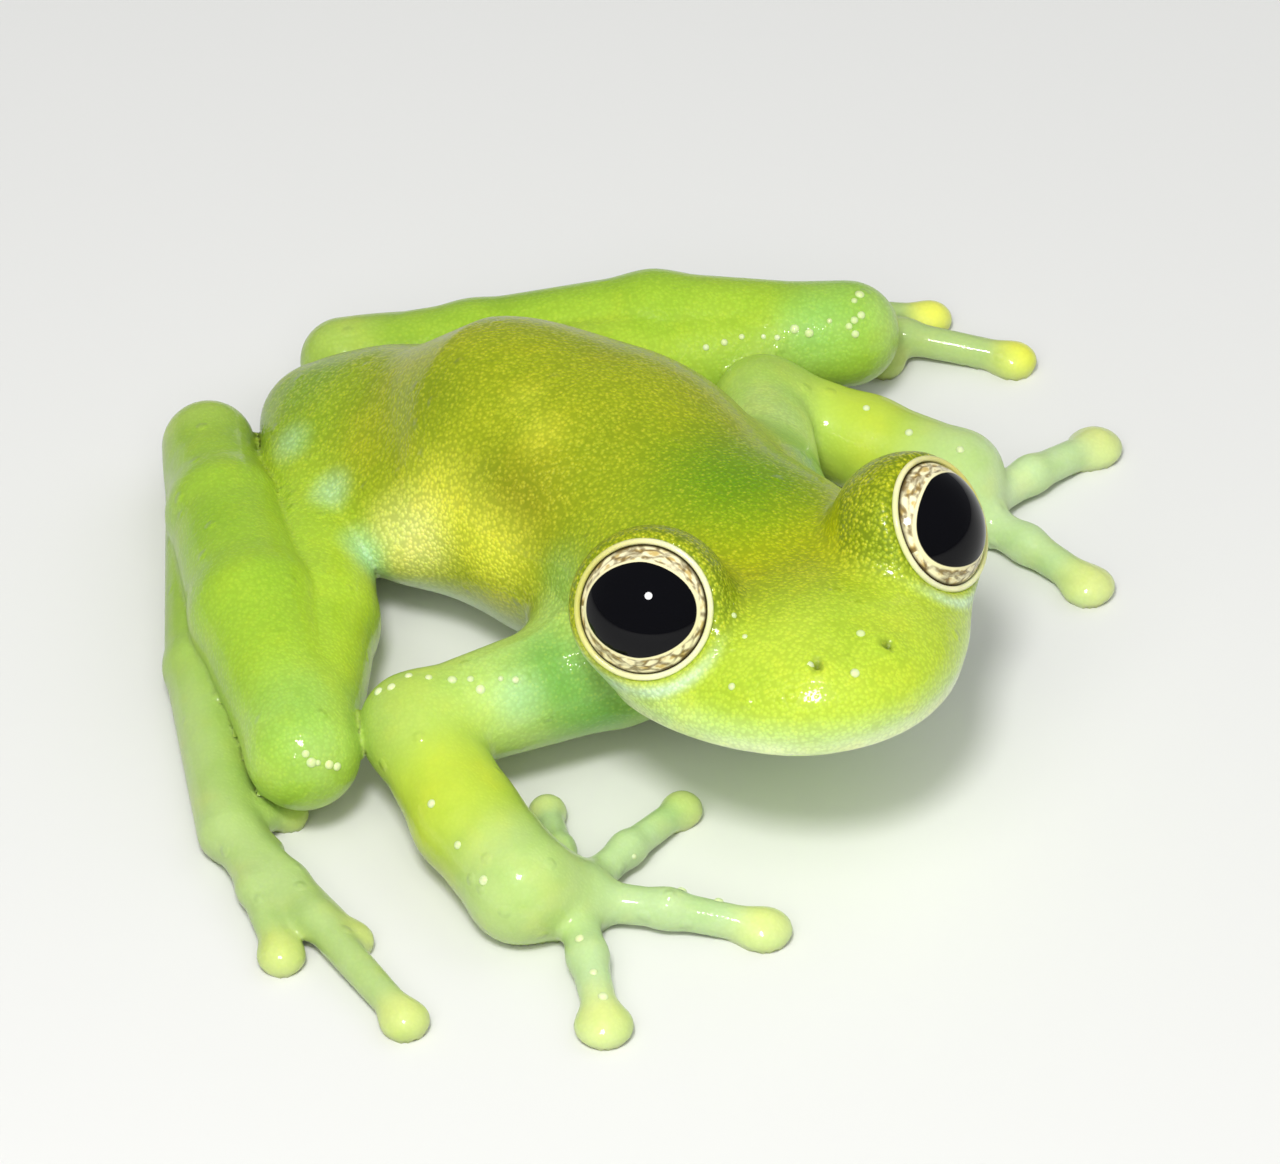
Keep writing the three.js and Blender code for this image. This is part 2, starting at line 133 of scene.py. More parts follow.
class Ellipsoid:
    def __init__(self, centre, half, turn=np.eye(3)):
        self.centre, self.half, self.turn = centre, np.array(half), turn

    def box(self):
        reach = self.half.max()
        return self.centre - reach, self.centre + reach

    def distance(self, p):
        q = (p - self.centre) @ self.turn
        near = np.linalg.norm(q / self.half, axis=1)
        slope = np.linalg.norm(q / self.half**2, axis=1)
        return near * (near - 1) / np.maximum(slope, 1e-9)


class Limb:
    def __init__(self, start, end):
        (self.a, self.ra), (self.b, self.rb) = start, end

    def box(self):
        reach = max(self.ra, self.rb)
        return np.minimum(self.a, self.b) - reach, np.maximum(self.a, self.b) + reach

    def distance(self, p):
        along = self.b - self.a
        q = p - self.a
        t = np.clip(q @ along / (along @ along), 0, 1)
        q = q - t[:, None] * along
        return np.linalg.norm(q, axis=1) - (self.ra + (self.rb - self.ra) * t)


class EyeMound:
    """Flesh round an eye, flat where the lids open."""

    def __init__(self, side):
        self.centre, self.axis = eye_centre(side), eye_axis(side)

    def box(self):
        return self.centre - MOUND_RADIUS, self.centre + MOUND_RADIUS

    def distance(self, p):
        q = p - self.centre
        out = MOUND_RADIUS - np.linalg.norm(q, axis=1)
        return -blend(out, LID_OPENING - q @ self.axis, 0.3)


class Form:
    """Several pieces rounded into each other."""

    def __init__(self, pieces, reach):
        self.pieces, self.reach = pieces, reach

    def box(self):
        boxes = [piece.box() for piece in self.pieces]
        return np.min([b[0] for b in boxes], 0), np.max([b[1] for b in boxes], 0)

    def distance(self, p):
        d = self.pieces[0].distance(p)
        for piece in self.pieces[1:]:
            d = blend(d, piece.distance(p), self.reach)
        return d

    def near(self, p):
        """Distances, worked out only near the form and large elsewhere."""
        low, high = self.box()
        close = np.all((p > low - NEARBY) & (p < high + NEARBY), axis=1)
        d = np.full(len(p), FAR)
        d[close] = self.distance(p[close])
        return d


def station(side, ahead, up, radius):
    return place(side, ahead, up), radius


def chain(stations):
    return Form([Limb(a, b) for a, b in zip(stations, stations[1:])], 0.3)


# The frog's forms, from the same sizes as the solids

def trunk():
    rump = chain([
        station(-0.7, 2.2, 1.65, 1.15),
        station(-0.5, 4.7, 2.35, 1.9),
        station(-0.3, 7.4, 3.5, 2.75),
    ])
    belly = Ellipsoid(place(-0.3, 10.4, 3.25), (3.85, 4.7, 3.3))
    pelvis = Ellipsoid(place(-0.8, 4.8, 2.15), (3.3, 3.1, 1.6))
    flanks = Ellipsoid(place(-0.5, 7.0, 2.4), (3.95, 2.6, 1.7))
    shoulders = Ellipsoid(place(-1.2, 13.9, 3.4), (3.4, 3.4, 2.6))
    return Form([rump, belly, pelvis, flanks, shoulders], 1.2)


class Head:
    def __init__(self):
        skull = Ellipsoid(on_head(0, 0, -1.55), (4.12, 4.15, 1.6), HEAD_TURNING)
        snout = Ellipsoid(on_head(0, 2.0, -1.25), (2.6, 2.6, 1.25), HEAD_TURNING)
        throat = Ellipsoid(on_head(0, -2.4, -1.9), (3.6, 2.6, 2.1), HEAD_TURNING)
        self.flesh = Form([skull, snout, throat], 1.0)
        self.mounds = [EyeMound(RIGHT), EyeMound(LEFT)]

    def box(self):
        low, high = self.flesh.box()
        return low - 0.5, high + 0.5

    def distance(self, p):
        d = self.flesh.distance(p)
        for mound in self.mounds:
            d = blend(d, mound.distance(p), 0.7)
        return d

    near = Form.near


JOINTS = {
    "right": {
        "hip": station(-2.8, 4.2, 1.85, 1.15),
        "thigh": station(-6.4, 7.0, 1.65, 1.45),
        "knee": station(-10.35, 10.0, 2.0, 1.2),
        "calf": station(-7.6, 6.3, 2.3, 1.5),
        "shin": station(-4.95, 3.05, 1.95, 1.3),
        "heel": station(-2.9, 0.8, 1.6, 1.0),
        "ankle": station(-8.6, 5.4, 0.95, 0.8),
        "toes": station(-12.2, 9.4, 0.6, 0.75),
        "shoulder": station(-4.3, 13.7, 2.45, 1.4),
        "elbow": station(-8.3, 11.6, 2.2, 1.15),
        "forearm": station(-9.45, 14.0, 1.55, 1.2),
        "wrist": station(-10.1, 16.1, 1.15, 1.25),
    },
    "left": {
        "hip": station(1.7, 4.2, 1.85, 1.15),
        "thigh": station(5.8, 6.7, 1.6, 1.35),
        "knee": station(9.5, 10.1, 1.95, 1.15),
        "calf": station(6.75, 6.45, 1.95, 1.4),
        "shin": station(4.0, 3.2, 1.5, 1.15),
        "heel": station(1.9, 0.9, 1.3, 0.95),
        "ankle": station(7.4, 4.5, 0.95, 0.8),
        "toes": station(10.5, 7.8, 0.6, 0.75),
        "shoulder": station(2.6, 13.2, 2.7, 1.25),
        "elbow": station(6.3, 10.1, 1.75, 1.05),
        "forearm": station(7.15, 12.5, 1.25, 1.1),
        "wrist": station(7.6, 14.8, 1.1, 1.1),
    },
}

# Tips of the digits on the floor, the innermost first
FINGER_TIPS = {
    "right": [(-6.9, 14.2), (-4.9, 16.6), (-7.0, 20.7), (-11.9, 19.9)],
    "left": [(4.4, 13.3), (3.6, 16.6), (7.1, 19.2), (11.6, 16.1)],
}
TOE_TIPS = {
    "right": [(-10.4, 8.9), (-10.5, 9.8), (-13.1, 13.8), (-14.4, 16.4), (-14.5, 12.9)],
    "left": [(9.3, 8.6), (9.9, 9.4), (11.0, 10.3), (13.0, 12.7), (13.1, 10.1)],
}
FINGER_THICKNESS = [0.32, 0.36, 0.42, 0.42]
FINGER_DISCS = [0.42, 0.46, 0.64, 0.66]
TOE_THICKNESS = [0.32, 0.34, 0.36, 0.4, 0.38]
TOE_DISCS = [0.4, 0.44, 0.5, 0.56, 0.54]


def disc_centre(root, tip, disc):
    """The middle of the disc at a digit's tip, on the floor."""
    end = place(*tip, 0)
    back = (root[0] - end) * (1, 1, 0)
    return end + back / np.linalg.norm(back) * disc * 0.3


def digit(root, tip, thick, disc):
    centre = disc_centre(root, tip, disc)
    end = (centre + (0, 0, 0.3), thick * 0.9)
    knuckle = ((root[0] + end[0]) / 2 + (0, 0, 0.12), thick)
    pad = Ellipsoid(centre + (0, 0, 0.26), (disc, disc, 0.36))
    return Form([chain([(root[0], thick * 1.15), knuckle, end]), pad], 0.25)


def web(root, tip_a, tip_b, share):
    """Thin skin between two digits, out to a share of their length."""
    ends = [root[0] + (place(*tip, 0.3) - root[0]) * share for tip in (tip_a, tip_b)]
    middle = (ends[0] + ends[1]) / 2
    middle = middle + (root[0] - middle) * 0.12
    return Limb((root[0], 0.45), (middle, 0.28))


def palm_of(side):
    wrist = JOINTS[side]["wrist"]
    centre = np.mean([place(*tip, 0) for tip in FINGER_TIPS[side]], axis=0)
    palm = wrist[0] + (centre - wrist[0]) * 0.38
    palm[2] = 0.55
    return palm, 0.95


def hand(side):
    palm = palm_of(side)
    digits = [
        digit(palm, tip, thick, disc)
        for tip, thick, disc in zip(FINGER_TIPS[side], FINGER_THICKNESS, FINGER_DISCS)
    ]
    return Form([Limb(JOINTS[side]["wrist"], palm), *digits], 0.35)


def foot(side):
    tips, toes = TOE_TIPS[side], JOINTS[side]["toes"]
    digits = [
        digit(toes, tip, thick, disc) for tip, thick, disc in zip(tips, TOE_THICKNESS, TOE_DISCS)
    ]
    webs = [web(toes, a, b, share) for a, b, share in zip(tips, tips[1:], (0.4, 0.5, 0.6, 0.65))]
    return Form([Limb(JOINTS[side]["ankle"], toes), *digits, *webs], 0.3)


def all_forms():
    forms = {"torso": trunk(), "head": Head()}
    for side in ("left", "right"):
        joints = JOINTS[side]
        forms["thigh_" + side] = chain([joints["hip"], joints["thigh"], joints["knee"]])
        forms["shank_" + side] = chain([joints["knee"], joints["calf"], joints["shin"], joints["heel"]])
        forms["tarsus_" + side] = chain([joints["heel"], joints["ankle"]])
        forms["foot_" + side] = foot(side)
        forms["upper_arm_" + side] = chain([joints["shoulder"], joints["elbow"]])
        forms["forearm_" + side] = chain([joints["elbow"], joints["forearm"], joints["wrist"]])
        forms["hand_" + side] = hand(side)
    return forms


def all_meetings():
    """Pairs of forms that run into each other: where, how roundly and how far from there."""
    meetings = [("torso", "head", on_head(0, -3.4, -2.4), 2.2, 7.0)]
    for side in ("left", "right"):
        joints = JOINTS[side]
        meetings += [
            ("torso", "thigh_" + side, joints["hip"][0], 0.4, 3.4),
            ("thigh_" + side, "shank_" + side, joints["knee"][0], 0.6, 2.6),
            ("shank_" + side, "tarsus_" + side, joints["heel"][0], 0.5, 2.2),
            ("tarsus_" + side, "foot_" + side, joints["ankle"][0], 0.25, 2.2),
            ("torso", "upper_arm_" + side, joints["shoulder"][0], 1.8, 3.6),
            ("upper_arm_" + side, "forearm_" + side, joints["elbow"][0], 0.8, 2.4),
            ("forearm_" + side, "hand_" + side, joints["wrist"][0], 0.3, 2.2),
        ]
    return meetings


FORMS = all_forms()
MEETINGS = all_meetings()


def head_places(p):
    """Points in the head's own frame: to the left, ahead, up."""
    q = (p - HEAD_ORIGIN) @ HEAD_TURNING
    return q[:, 0], -q[:, 1], q[:, 2]


def mouth_share(p):
    """How much a point lies where the mouth runs, from 0 to 1."""
    left, ahead, _ = head_places(p)
    angle = np.degrees(np.arctan2(np.abs(left), ahead - 0.3))
    return 1 - smooth(100, 114, angle)


def from_nostril(p, side):
    """Distance over the snout's top from a nostril."""
    left, ahead, up = head_places(p)
    return np.hypot(left - side * NOSTRIL_SIDE, ahead - NOSTRIL_AHEAD) + FAR * (up < -1.6)


def around_eye(p, side):
    """How far points lie along an eye's axis, and how far out from it."""
    q = p - eye_centre(side)
    height = q @ eye_axis(side)
    return height, np.sqrt(np.maximum((q * q).sum(1) - height**2, 0))


def band(value, middle, width):
    """From 1 at the middle to nearly 0 two widths away."""
    return np.exp(-(((value - middle) / width) ** 2))


def fine_relief(p, d):
    """Lips, nostrils, eardrums and the hollows inside the lids, worked into the flesh."""
    left, ahead, up = head_places(p)
    mouth = mouth_share(p) * (up > -4.2) * (ahead > -4)
    d = d + 0.13 * mouth * band(up, LIP_HEIGHT, 0.07)
    d = d - 0.07 * mouth * band(up, LIP_HEIGHT + 0.24, 0.16)
    d = d - 0.05 * mouth * band(up, LIP_HEIGHT - 0.26, 0.16)
    for side in (RIGHT, LEFT):
        nostril = from_nostril(p, side)
        d = d - 0.13 * band(nostril, 0, 0.32) + 0.32 * band(nostril, 0, 0.12)
        drum = np.hypot(ahead + DRUM_BEHIND, up + DRUM_DROP) + FAR * (side * left < 1)
        d = d - 0.04 * band(drum, DRUM_RADIUS, 0.12)
        height, out = around_eye(p, side)
        hollow = np.maximum(out - LID_RADIUS - 0.2, LID_OPENING - 0.04 - height)
        d = -blend(-d, hollow, 0.15)
    return d


def flesh(p):
    """Distance to the whole frog, rounded over at every meeting."""
    p = np.asarray(p, float)
    each = {name: form.near(p) for name, form in FORMS.items()}
    d = np.min(list(each.values()), axis=0)
    for first, second, point, reach, spread in MEETINGS:
        away = np.linalg.norm(p - point, axis=1) / spread
        fade = 1 - np.minimum(away, 1) ** 2
        d = np.minimum(d, blend(each[first], each[second], reach * fade))
    head = np.linalg.norm(p - on_head(0, 0, -1), axis=1) < 7
    if head.any():
        d[head] = fine_relief(p[head], d[head])
    return d


# The skin's mesh

def sampled(cell):
    """The flesh on a regular grid, worked out only in the blocks that the surface may cross."""
    low = np.min([form.box()[0] for form in FORMS.values()], 0) - 0.5
    high = np.max([form.box()[1] for form in FORMS.values()], 0) + 0.5
    low[2] = -0.5
    counts = np.ceil((high - low) / cell / BLOCK).astype(int)
    field = np.full(counts * BLOCK, FAR, np.float32)
    index = np.argwhere(np.ones(counts, bool))
    middles = low + (index + 0.5) * BLOCK * cell
    reach = BLOCK * cell * 0.5 * math.sqrt(3) * 1.4 + 0.3
    distance = flesh(middles)
    for corner in index[distance < 0] * BLOCK:
        field[tuple(slice(start, start + BLOCK) for start in corner)] = -FAR
    inner = np.stack(np.meshgrid(*[np.arange(BLOCK)] * 3, indexing="ij"), -1).reshape(-1, 3)
    wanted = index[np.abs(distance) < reach]
    for start in range(0, len(wanted), BLOCKS_AT_ONCE):
        corners = wanted[start:start + BLOCKS_AT_ONCE]
        grid = (corners[:, None] * BLOCK + inner[None]).reshape(-1, 3)
        field[tuple(grid.T)] = flesh(low + grid * cell)
    return field, low


def surface_nets(field, low, cell):
    """One vertex in each cell that the surface crosses, one square at each crossed grid edge."""
    inside = field < 0
    shape = field.shape
    corners = [(a, b, c) for a in (0, 1) for b in (0, 1) for c in (0, 1)]
    count = sum(
        inside[a:shape[0] - 1 + a, b:shape[1] - 1 + b, c:shape[2] - 1 + c].astype(np.int8)
        for a, b, c in corners
    )
    cells = (count > 0) & (count < 8)
    where = np.argwhere(cells)
    number = np.full(cells.shape, -1, np.int64)
    number[cells] = np.arange(len(where))
    total = np.zeros((len(where), 3))
    crossings = np.zeros(len(where))
    for corner in corners:
        for axis in range(3):
            if corner[axis]:
                continue
            other = list(corner)
            other[axis] = 1
            here = field[tuple((where + corner).T)].astype(float)
            there = field[tuple((where + other).T)].astype(float)
            cut = (here < 0) != (there < 0)
            point = np.tile(np.array(corner, float), (int(cut.sum()), 1))
            point[:, axis] = here[cut] / (here[cut] - there[cut])
            total[cut] += point
            crossings[cut] += 1
    vertices = (where + total / crossings[:, None]) * cell + low
    squares = []
    for axis in range(3):
        u, v = (axis + 1) % 3, (axis + 2) % 3
        along = np.moveaxis(inside, axis, 0)
        crossed = np.moveaxis(along[:-1] != along[1:], 0, axis)
        edges = np.argwhere(crossed)
        fits = (edges[:, u] > 0) & (edges[:, v] > 0)
        fits &= (edges[:, u] < shape[u] - 1) & (edges[:, v] < shape[v] - 1)
        edges = edges[fits]
        outwards = inside[tuple(edges.T)]
        square = []
        for du, dv in ((-1, -1), (0, -1), (0, 0), (-1, 0)):
            cell_at = edges.copy()
            cell_at[:, u] += du
            cell_at[:, v] += dv
            square.append(number[tuple(cell_at.T)])
        square = np.stack(square, 1)
        square[~outwards] = square[~outwards][:, ::-1]
        squares.append(square)
    return vertices, np.concatenate(squares)


def slope(p):
    """Direction in which the flesh's distance grows."""
    shifts = np.eye(3) * 0.02
    g = np.stack([flesh(p + s) - flesh(p - s) for s in shifts], 1)
    return g / np.maximum(np.linalg.norm(g, axis=1, keepdims=True), 1e-9)


def drawn_to_surface(points, times=2):
    """Vertices moved onto the surface along the slope."""
    for _ in range(times):
        d = np.clip(flesh(points), -0.08, 0.08)
        points = points - slope(points) * d[:, None]
    return points


def relaxed(vertices, squares):
    """Vertices evened out twice, halfway towards the middle of their neighbours."""
    for _ in range(2):
        total = np.zeros_like(vertices)
        count = np.zeros(len(vertices))
        for a, b in ((0, 1), (1, 2), (2, 3), (3, 0)):
            np.add.at(total, squares[:, a], vertices[squares[:, b]])
            np.add.at(total, squares[:, b], vertices[squares[:, a]])
            np.add.at(count, squares[:, a], 1)
            np.add.at(count, squares[:, b], 1)
        vertices = vertices + (total / count[:, None] - vertices) * 0.5
    return vertices


# Colours of the skin, as light reflected; a few also stand in for light or shade, as marked where they
# are used

PAINT = {
    "back": (0.37, 0.43, 0.010),
    "nape": (0.15, 0.33, 0.001),
    "rump": (0.25, 0.44, 0.03),
    "olive": (0.25, 0.25, 0.004),
    "shade": (0.15, 0.24, 0.004),
    "head": (0.44, 0.48, 0.002),
    "snout": (0.50, 0.66, 0.05),
    "cheek": (0.62, 0.90, 0.27),
    "limb": (0.32, 0.53, 0.035),
    "thigh": (0.44, 0.63, 0.045),
    "forearm": (0.50, 0.63, 0.05),
    "upper_arm": (0.52, 0.72, 0.20),
    "yellow": (0.90, 0.90, 0.08),
    "cream": (0.88, 0.90, 0.34),
    "blue": (0.48, 0.78, 0.46),
    "mint": (0.33, 0.66, 0.22),
    "teal": (0.10, 0.36, 0.05),
    "pale": (0.31, 0.43, 0.10),
    # The wrists' own pale translucent skin; laid on the knees it is a painted highlight, and over the
    # left hand it is partly painted light
    "wrist": (0.60, 0.76, 0.42),
    "digit": (0.48, 0.64, 0.32),
    "foot": (0.42, 0.55, 0.22),
    "disc": (0.72, 0.76, 0.22),
    "lip": (0.84, 0.96, 0.56),
    "lid_front": (0.84, 0.86, 0.48),
    "lid_rear": (0.60, 0.56, 0.12),
    "under_eye": (0.66, 0.90, 0.66),
    # Pale warts: partly their own pale colour, partly a painted highlight standing in for glints
    "wart": (0.72, 0.86, 0.42),
    # Painted shade: darkens the mouth's crease and the nostrils' pits
    "dark": (0.05, 0.08, 0.004),
    "belly": (0.60, 0.76, 0.46),
}

# Patches of colour: the paint, the middle, the radius and the strength
PATCHES = [
    ("nape", (-0.9, 14.8, 6.0), 3.4, 1.0),
    ("rump", (-1.3, 2.8, 3.0), 3.2, 0.9),
    ("olive", (-3.5, 10.5, 5.0), 2.2, 0.8),
    ("shade", (-2.1, 7.1, 5.8), 1.5, 0.55),
    ("shade", (-3.3, 9.2, 5.1), 1.3, 0.35),
    ("shade", (-1.2, 11.8, 6.4), 1.5, 0.25),
    ("yellow", (-3.9, 8.6, 3.8), 2.3, 1.0),
    ("yellow", (-4.1, 10.4, 3.8), 1.9, 0.9),
    ("yellow", (-2.1, 10.2, 6.1), 0.9, 0.3),
    ("yellow", (-1.5, 9.2, 6.3), 0.8, 0.25),
    ("cream", (-4.2, 8.0, 3.2), 1.7, 0.8),
    # Pale bluish band on the body's side of the right thigh's crease: painted highlight
    ("blue", (-4.6, 6.9, 2.4), 1.0, 0.9),
    ("blue", (-3.8, 5.4, 3.1), 0.8, 0.6),
    ("blue", (-3.0, 3.5, 3.1), 0.8, 0.5),
    ("yellow", (3.3, 8.6, 3.8), 2.3, 1.0),
    ("cream", (3.6, 8.0, 3.2), 1.7, 0.8),
    # The same painted highlight by the left thigh's crease
    ("blue", (3.9, 6.9, 2.4), 1.0, 0.9),
    ("teal", (-5.7, 13.6, 3.2), 1.9, 0.95),
    ("teal", (-5.3, 14.9, 2.4), 2.3, 0.9),
    ("teal", (3.3, 13.6, 3.2), 1.9, 0.95),
    ("teal", (2.9, 14.9, 2.4), 2.3, 0.9),
    ("blue", (-6.9, 13.4, 3.1), 0.9, 0.5),
    # Pale spots on both knees: painted highlight
    ("wrist", (-10.9, 11.0, 2.8), 1.1, 0.2),
    ("wrist", (9.9, 11.1, 2.6), 1.1, 0.2),
    ("mint", (8.2, 10.1, 2.8), 1.5, 0.5),
    ("mint", (-4.4, 12.6, 4.5), 1.2, 0.45),
    # Paler left hand: its pale translucent skin, partly painted light lifting it out of shade
    ("wrist", (8.6, 16.3, 1.0), 3.0, 0.85),
    # Yellow left toe discs: their own yellow, made brighter as painted light where they lie in shade
    ("yellow", (12.9, 10.1, 0.5), 0.9, 0.8),
    ("yellow", (13.0, 12.8, 0.5), 0.9, 0.8),
]

# Rows of low wet warts: both ends and how many
WART_ROWS = [
    ((-8.7, 11.0, 3.1), (-6.6, 13.0, 3.3), 9),
    ((-11.2, 10.9, 3.0), (-10.6, 11.3, 2.4), 5),
    ((-10.6, 13.6, 2.7), (-11.3, 16.0, 2.0), 3),
    ((6.4, 8.4, 2.6), (8.6, 10.3, 2.9), 8),
    ((8.7, 10.9, 2.8), (9.6, 10.4, 3.0), 6),
    ((6.9, 12.6, 2.5), (7.6, 15.0, 2.1), 3),
    ((-4.94, 18.02, 6.43), (-5.1, 18.45, 6.3), 2),
    ((-6.26, 18.89, 5.82), (-5.06, 20.2, 6.39), 2),
    ((-4.63, 20.97, 6.3), (-3.6, 20.6, 6.5), 2),
    ((-7.4, 17.5, 0.9), (-7.2, 19.6, 0.9), 3),
    ((-10.6, 18.0, 0.9), (-11.6, 19.5, 0.9), 3),
]


def near_point(p, point, radius):
    """From 1 at a point to 0 at a radius."""
    return 1 - smooth(0, radius, np.linalg.norm(p - point, axis=1))


def mix_in(colour, name, share):
    return colour + (np.array(PAINT[name]) - colour) * np.clip(share, 0, 1)[:, None]


def shares_of(p):
    """How much a point belongs to each form, adding up to 1."""
    names = list(FORMS)
    distances = np.stack([FORMS[name].near(p) for name in names], 1)
    weight = np.exp(-np.clip(distances - distances.min(1, keepdims=True), 0, 6) / 0.4)
    weight /= weight.sum(1, keepdims=True)
    return {name: weight[:, i] for i, name in enumerate(names)}


def limb_colours(p, colour, share, side):
    out = 1 if side == "left" else -1
    joints = JOINTS[side]
    arm = share["forearm_" + side] + share["upper_arm_" + side]
    tips = share["hand_" + side] + share["foot_" + side]
    colour = mix_in(colour, "thigh", share["thigh_" + side])
    colour = mix_in(colour, "forearm", share["forearm_" + side])
    colour = mix_in(colour, "upper_arm", share["upper_arm_" + side])
    colour = mix_in(colour, "digit", share["hand_" + side])
    colour = mix_in(colour, "foot", 0.9 * share["foot_" + side])
    colour = mix_in(colour, "pale", 0.8 * share["tarsus_" + side])
    knee = near_point(p, joints["knee"][0] + place(0, 0, 0.8), 2.4)
    colour = mix_in(colour, "mint", 0.4 * knee * (1 - arm))
    colour = mix_in(colour, "cream", 0.45 * near_point(p, joints["heel"][0], 1.6))
    colour = mix_in(colour, "wrist", 0.8 * near_point(p, joints["wrist"][0], 2.0) * (1 - tips))
    elbow = near_point(p, joints["elbow"][0] + place(out * 0.6, 0, 0.4), 1.6)
    colour = mix_in(colour, "pale", 0.6 * elbow)
    fingers = (FINGER_TIPS[side], palm_of(side), FINGER_DISCS)
    toes = (TOE_TIPS[side], joints["toes"], TOE_DISCS)
    for ends, root, discs in (fingers, toes):
        for tip, disc in zip(ends, discs):
            centre = disc_centre(root, tip, disc) + (0, 0, 0.3)
            colour = mix_in(colour, "disc", near_point(p, centre, disc * 1.7) * tips)
    return colour


def head_colours(p, colour, share):
    """The head's colours over the others, and more or less grain round the eyes and on the snout."""
    _, ahead, up = head_places(p)
    colour = mix_in(colour, "snout", share["head"] * smooth(-0.4, 2.6, ahead))
    colour = mix_in(colour, "cheek", share["head"] * (1 - smooth(-2.0, -0.8, up)) * 0.9)
    mouth = mouth_share(p) * share["head"]
    colour = mix_in(colour, "lip", 0.9 * mouth * band(up, LIP_HEIGHT + 0.2, 0.5))
    # Painted shade along the mouth's crease
    colour = mix_in(colour, "dark", 0.5 * mouth * band(up, LIP_HEIGHT, 0.06))
    stipple = np.zeros(len(p))
    for side in (RIGHT, LEFT):
        # Painted shade in the nostrils' pits
        colour = mix_in(colour, "dark", 0.8 * band(from_nostril(p, side), 0, 0.13))
        height, out = around_eye(p, side)
        upright = (p - eye_centre(side)) @ HEAD_TURNING[:, 2] / np.maximum(out, 0.1)
        outside = height > -0.6
        crescent = band(out, LID_RADIUS + 0.42, 0.14) * smooth(-0.1, 0.5, -upright)
        colour = mix_in(colour, "under_eye", 0.8 * crescent * outside)
        brow = 1 - smooth(LID_RADIUS + 0.3, LID_RADIUS + 1.0, out)
        brow = brow * smooth(-0.3, 0.4, upright) * outside
        colour = mix_in(colour, "shade", 0.3 * brow)
        stipple = np.maximum(stipple, brow)
    stipple = stipple - 0.45 * share["head"] * smooth(0.4, 2.6, ahead)
    return colour, stipple


def skin_colours(p, normals):
    """A colour for each point, and how grainy the skin is there."""
    share = shares_of(p)
    colour = np.tile(np.array(PAINT["limb"]), (len(p), 1))
    colour = mix_in(colour, "back", share["torso"])
    colour = mix_in(colour, "head", share["head"])
    trunk_share = share["torso"] + share["head"]
    for side in ("left", "right"):
        colour = limb_colours(p, colour, share, side)
    for name, middle, radius, strength in PATCHES:
        colour = mix_in(colour, name, strength * near_point(p, place(*middle), radius))
    below = smooth(0.1, 0.75, -normals[:, 2])
    colour = mix_in(colour, "belly", below * trunk_share)
    colour, stipple = head_colours(p, colour, share)
    grain = trunk_share + 0.4 * sum(
        share[name + side]
        for name in ("thigh_", "shank_", "upper_arm_") for side in ("left", "right")
    )
    return colour, np.maximum(np.clip(grain * (1 - below), 0, 1) + stipple, 0.1)


# Materials

def new_material(name):
    material = bpy.data.materials.new(name)
    material.use_nodes = True
    material.node_tree.nodes.clear()
    output = material.node_tree.nodes.new("ShaderNodeOutputMaterial")
    shader = material.node_tree.nodes.new("ShaderNodeBsdfPrincipled")
    material.node_tree.links.new(shader.outputs[0], output.inputs["Surface"])
    return material, shader


class Graph:
    """Short names for making and joining shader nodes."""

    def __init__(self, material):
        self.tree = material.node_tree

    def add(self, kind, **settings):
        node = self.tree.nodes.new("ShaderNode" + kind)
        for name, value in settings.items():
            setattr(node, name, value)
        return node

    def join(self, start, end):
        self.tree.links.new(start, end)

    def attribute(self, name):
        return self.add("Attribute", attribute_name=name)

    def object_space(self, scale):
        mapping = self.add("Mapping")
        mapping.inputs["Scale"].default_value = (scale, scale, scale)
        self.join(self.add("TexCoord").outputs["Object"], mapping.inputs["Vector"])
        return mapping.outputs["Vector"]

    def noise(self, vector, scale, detail):
        node = self.add("TexNoise")
        node.inputs["Scale"].default_value = scale
        node.inputs["Detail"].default_value = detail
        self.join(vector, node.inputs["Vector"])
        return node.outputs["Fac"]

    def cells(self, vector, scale, feature="F1"):
        node = self.add("TexVoronoi", feature=feature)
        node.inputs["Scale"].default_value = scale
        self.join(vector, node.inputs["Vector"])
        return node.outputs["Distance"]

    def ramp(self, value, low, high, start=0.0, end=1.0):
        node = self.add("MapRange", interpolation_type="SMOOTHSTEP")
        numbers = {"From Min": low, "From Max": high, "To Min": start, "To Max": end}
        for name, number in numbers.items():
            node.inputs[name].default_value = number
        self.join(value, node.inputs["Value"])
        return node.outputs["Result"]

    def math(self, operation, a, b=None):
        node = self.add("Math", operation=operation)
        for socket, value in zip(node.inputs, (a, b)):
            if value is None:
                continue
            if isinstance(value, (int, float)):
                socket.default_value = value
            else:
                self.join(value, socket)
        return node.outputs[0]

    def bump(self, height):
        node = self.add("Bump")
        node.inputs["Strength"].default_value = 0.5
        node.inputs["Distance"].default_value = 0.05 * MM
        self.join(height, node.inputs["Height"])
        return node.outputs["Normal"]

    def mix(self, share, a, b, kind="MIX"):
        node = self.add("Mix", data_type="RGBA", blend_type=kind)
        for socket, value in ((node.inputs[0], share), (node.inputs[6], a), (node.inputs[7], b)):
            if isinstance(value, (int, float)):
                socket.default_value = value
            elif isinstance(value, tuple):
                socket.default_value = (*value, 1)
            else:
                self.join(value, socket)
        return node.outputs[2]


